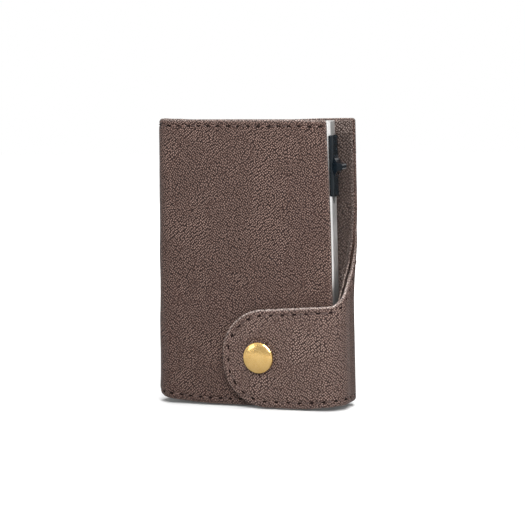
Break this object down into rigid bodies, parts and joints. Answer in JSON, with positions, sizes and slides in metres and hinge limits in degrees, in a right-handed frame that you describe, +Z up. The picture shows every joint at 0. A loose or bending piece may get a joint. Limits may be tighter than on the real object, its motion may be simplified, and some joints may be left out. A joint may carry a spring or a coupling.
{
  "type": "pop up card holder",
  "caption": "Leather wallet folded round a slim aluminium card case with a side slider that pushes the cards up in steps, closed by a strap with a snap fastener.",
  "frame": {"origin": "under the middle of the closed wallet's box, at the bottom edges that it stands on", "axes": "+Z up along the cards, -Y out of the front panel, +X towards the open side with the slider"},
  "size_m": [0.0706, 0.0246, 0.1],
  "materials": {
    "leather": "dark brown, fine pebble grain, low sheen",
    "lining": "dark brown, smooth split leather",
    "brass": "satin",
    "steel": "plain",
    "aluminium": "satin anodised",
    "gloss_black_plastic": "glossy black",
    "black_plastic": "moulded black",
    "tape": "foam tape",
    "felt": "felt"
  },
  "bodies": {
    "case_and_front": {"case_shell": "aluminium", "case_base": "black_plastic", "card_grip_pad": "felt", "case_tape": "tape", "front_panel": "leather", "front_lining": "lining", "snap_stud": "brass", "snap_post": "steel"},
    "slider": {"slider_button": "gloss_black_plastic", "slider_carriage": "black_plastic", "ejector": "black_plastic"},
    "cover": {"back_panel": "leather", "back_lining": "lining", "inner_pocket": "leather"},
    "strap_side_part": {"strap_side": "leather", "strap_side_lining": "lining"},
    "strap_front_part": {"strap_front": "leather", "strap_front_lining": "lining", "snap_cap": "brass", "snap_socket": "brass"}
  },
  "joints": [
    {"name": "slider_travel", "type": "slide", "parent": "case_and_front", "child": "slider", "axis": [0, 0, 1], "range_m": [-0.0105, 0.0046]},
    {"name": "cover_open", "type": "hinge", "parent": "case_and_front", "child": "cover", "pos_m": [-0.02905, 0.0067, 0], "axis": [0, 0, 1], "range_deg": [0, 16]},
    {"name": "strap_unwrap", "type": "hinge", "parent": "cover", "child": "strap_side_part", "pos_m": [0.03095, 0.0077, 0], "axis": [0, 0, 1], "range_deg": [0, 88]},
    {"name": "strap_unfold", "type": "hinge", "parent": "strap_side_part", "child": "strap_front_part", "pos_m": [0.034, -0.00905, 0], "axis": [0, 0, 1], "range_deg": [0, 88]}
  ],
  "couplings": [
    {"joint": "cover_open", "follows": "strap_unwrap", "ratio": 0.18},
    {"joint": "strap_unfold", "follows": "strap_unwrap", "ratio": 1}
  ]
}
